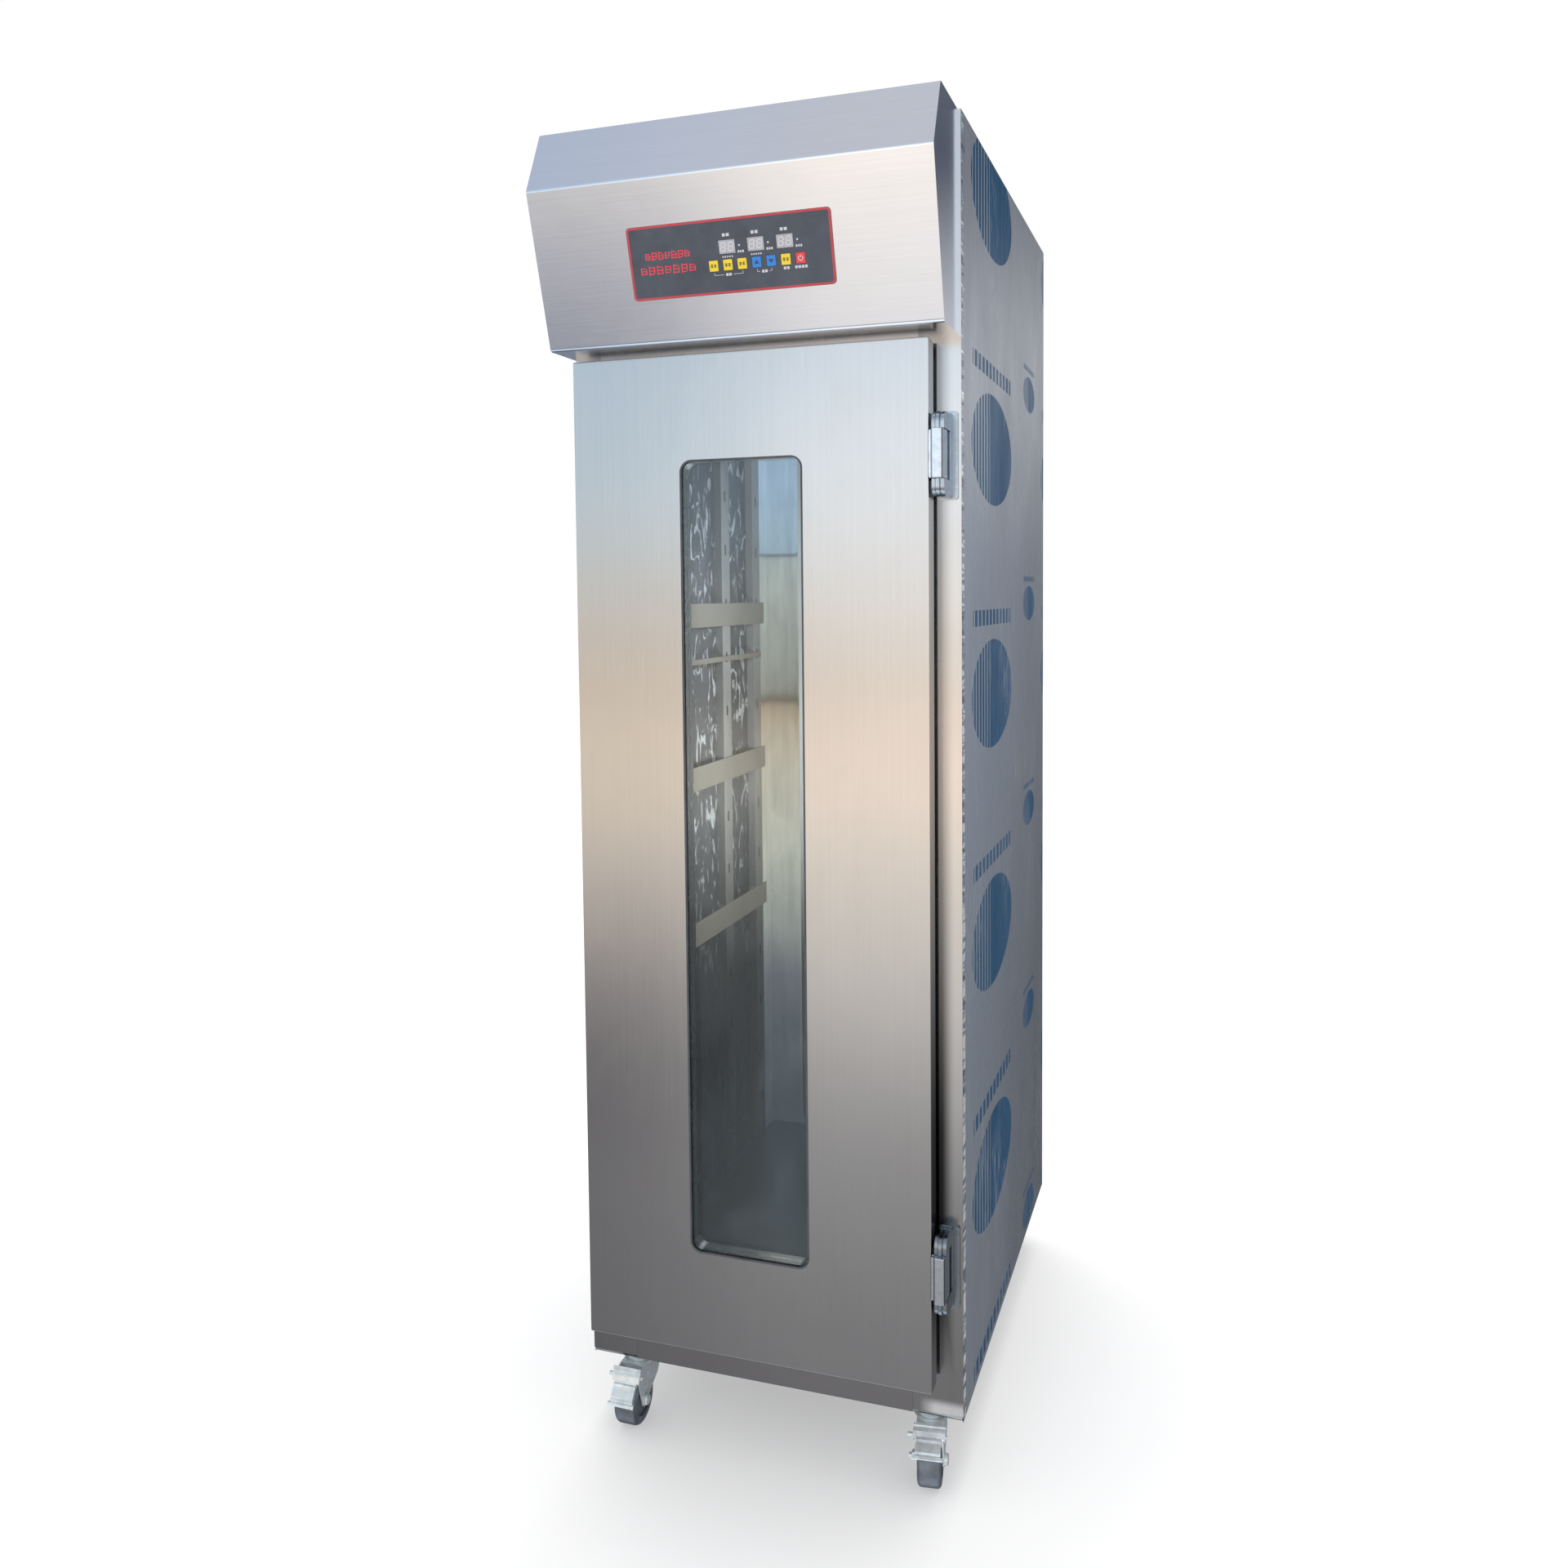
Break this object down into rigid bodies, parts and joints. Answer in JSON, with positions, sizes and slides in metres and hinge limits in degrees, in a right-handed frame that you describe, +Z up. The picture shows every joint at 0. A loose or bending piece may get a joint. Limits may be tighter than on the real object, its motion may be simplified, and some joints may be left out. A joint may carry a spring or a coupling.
{
  "type": "proofing cabinet",
  "caption": "Tall insulated proofing cabinet with a windowed hinged door, sloped control hood, tray racks, air duct and braked swivel casters.",
  "frame": {"origin": "on the floor, below the middle of the bounding box", "axes": "+Z up, door and control hood face -Y, hinges on the +X side"},
  "size_m": [0.5, 0.8368, 1.658],
  "materials": {
    "stainless_sheet": "fine vertical brushing, semi-gloss",
    "stainless_bar": "smooth drawn bar",
    "plate_steel": "bright zinc plating on pressed and cast steel",
    "foam": "rigid foam board",
    "overlay_film": "dark printed polyester film with a red border",
    "board_laminate": "green circuit laminate",
    "display_lens": "dark digit window",
    "key_yellow": "satin moulded key",
    "key_blue": "satin moulded key",
    "key_red": "satin moulded key",
    "window_glass": "clear toughened pane",
    "black_rubber": "matte extruded seal",
    "wheel_tread": "dark solid wheel with moulded tread",
    "black_plastic": "moulded plastic",
    "brass_fitting": "turned brass"
  },
  "bodies": {
    "cabinet": {"side_panel_left": "stainless_sheet", "side_panel_right": "stainless_sheet", "stile_left": "stainless_sheet", "stile_right": "stainless_sheet", "bottom_rail": "stainless_sheet", "header_panel": "stainless_sheet", "corner_shoes": "plate_steel", "base_pan": "stainless_sheet", "rear_panel": "stainless_sheet", "roof_panel": "stainless_sheet", "liner_wrap": "stainless_sheet", "liner_floor": "stainless_sheet", "liner_ceiling": "stainless_sheet", "insulation": "foam", "hood_shell": "stainless_sheet", "control_overlay": "overlay_film", "control_board": "board_laminate", "displays": "display_lens", "rack_left": "stainless_bar", "rack_right": "stainless_bar", "air_duct": "stainless_sheet", "fan_motor": "plate_steel", "heater_element": "stainless_bar", "spray_nozzle": "brass_fitting", "hinge_frame_leaves": "plate_steel", "hinge_pins": "stainless_bar", "caster_plates": "plate_steel", "power_gland": "black_plastic", "panel_screws": "plate_steel"},
    "door": {"door_skin": "stainless_sheet", "door_liner": "stainless_sheet", "door_insulation": "foam", "outer_glass": "window_glass", "inner_glass": "window_glass", "window_seal": "black_rubber", "door_gasket": "black_rubber", "hinge_door_leaves": "plate_steel", "door_pull": "black_plastic"},
    "key_temperature": {"key_temperature": "key_yellow"},
    "key_humidity": {"key_humidity": "key_yellow"},
    "key_timer": {"key_timer": "key_yellow"},
    "key_up": {"key_up": "key_blue"},
    "key_down": {"key_down": "key_blue"},
    "key_light": {"key_light": "key_yellow"},
    "key_power": {"key_power": "key_red"},
    "swivel_front_left": {"fork_front_left": "plate_steel", "axle_front_left": "plate_steel"},
    "wheel_front_left": {"wheel_front_left": "wheel_tread"},
    "swivel_front_right": {"fork_front_right": "plate_steel", "axle_front_right": "plate_steel"},
    "wheel_front_right": {"wheel_front_right": "wheel_tread"},
    "swivel_rear_left": {"fork_rear_left": "plate_steel", "axle_rear_left": "plate_steel"},
    "wheel_rear_left": {"wheel_rear_left": "wheel_tread"},
    "swivel_rear_right": {"fork_rear_right": "plate_steel", "axle_rear_right": "plate_steel"},
    "wheel_rear_right": {"wheel_rear_right": "wheel_tread"},
    "brake_pedal_left": {"brake_pedal_left": "plate_steel"},
    "brake_pedal_right": {"brake_pedal_right": "plate_steel"},
    "fan_rotor": {"fan_rotor": "black_plastic"}
  },
  "joints": [
    {"name": "door_hinge", "type": "hinge", "parent": "cabinet", "child": "door", "pos_m": [0.2295, -0.32, 0.7725], "axis": [0, 0, 1], "range_deg": [0, 135]},
    {"name": "temperature_key_press", "type": "slide", "parent": "cabinet", "child": "key_temperature", "axis": [0, 0.9583, 0.2856], "range_m": [0, 0.001], "stiffness_N_per_m": 400},
    {"name": "humidity_key_press", "type": "slide", "parent": "cabinet", "child": "key_humidity", "axis": [0, 0.9583, 0.2856], "range_m": [0, 0.001], "stiffness_N_per_m": 400},
    {"name": "timer_key_press", "type": "slide", "parent": "cabinet", "child": "key_timer", "axis": [0, 0.9583, 0.2856], "range_m": [0, 0.001], "stiffness_N_per_m": 400},
    {"name": "up_key_press", "type": "slide", "parent": "cabinet", "child": "key_up", "axis": [0, 0.9583, 0.2856], "range_m": [0, 0.001], "stiffness_N_per_m": 400},
    {"name": "down_key_press", "type": "slide", "parent": "cabinet", "child": "key_down", "axis": [0, 0.9583, 0.2856], "range_m": [0, 0.001], "stiffness_N_per_m": 400},
    {"name": "light_key_press", "type": "slide", "parent": "cabinet", "child": "key_light", "axis": [0, 0.9583, 0.2856], "range_m": [0, 0.001], "stiffness_N_per_m": 400},
    {"name": "power_key_press", "type": "slide", "parent": "cabinet", "child": "key_power", "axis": [0, 0.9583, 0.2856], "range_m": [0, 0.001], "stiffness_N_per_m": 400},
    {"name": "front_left_swivel", "type": "hinge", "parent": "cabinet", "child": "swivel_front_left", "pos_m": [-0.1965, -0.258, 0.08], "axis": [0, 0, 1], "continuous": true},
    {"name": "front_left_wheel_spin", "type": "hinge", "parent": "swivel_front_left", "child": "wheel_front_left", "pos_m": [-0.19673, -0.284, 0.0325], "axis": [1, -0.0087, 0], "continuous": true},
    {"name": "front_right_swivel", "type": "hinge", "parent": "cabinet", "child": "swivel_front_right", "pos_m": [0.204, -0.258, 0.08], "axis": [0, 0, 1], "continuous": true},
    {"name": "front_right_wheel_spin", "type": "hinge", "parent": "swivel_front_right", "child": "wheel_front_right", "pos_m": [0.20739, -0.28378, 0.0325], "axis": [0.9914, 0.1305, 0], "continuous": true},
    {"name": "rear_left_swivel", "type": "hinge", "parent": "cabinet", "child": "swivel_rear_left", "pos_m": [-0.203, 0.364, 0.08], "axis": [0, 0, 1], "continuous": true},
    {"name": "rear_left_wheel_spin", "type": "hinge", "parent": "swivel_rear_left", "child": "wheel_rear_left", "pos_m": [-0.20841, 0.33857, 0.0325], "axis": [0.9781, -0.2079, 0], "continuous": true},
    {"name": "rear_right_swivel", "type": "hinge", "parent": "cabinet", "child": "swivel_rear_right", "pos_m": [0.203, 0.364, 0.08], "axis": [0, 0, 1], "continuous": true},
    {"name": "rear_right_wheel_spin", "type": "hinge", "parent": "swivel_rear_right", "child": "wheel_rear_right", "pos_m": [0.20527, 0.3381, 0.0325], "axis": [0.9962, 0.0872, 0], "continuous": true},
    {"name": "brake_pedal_left_press", "type": "hinge", "parent": "swivel_front_left", "child": "brake_pedal_left", "pos_m": [-0.19687, -0.3, 0.07], "axis": [1, -0.0087, 0], "range_deg": [-38, 0]},
    {"name": "brake_pedal_right_press", "type": "hinge", "parent": "swivel_front_right", "child": "brake_pedal_right", "pos_m": [0.20948, -0.29964, 0.07], "axis": [0.9914, 0.1305, 0], "range_deg": [0, 38]},
    {"name": "fan_spin", "type": "hinge", "parent": "cabinet", "child": "fan_rotor", "pos_m": [-0.008, 0.33, 1.18], "axis": [0, 1, 0], "continuous": true}
  ]
}
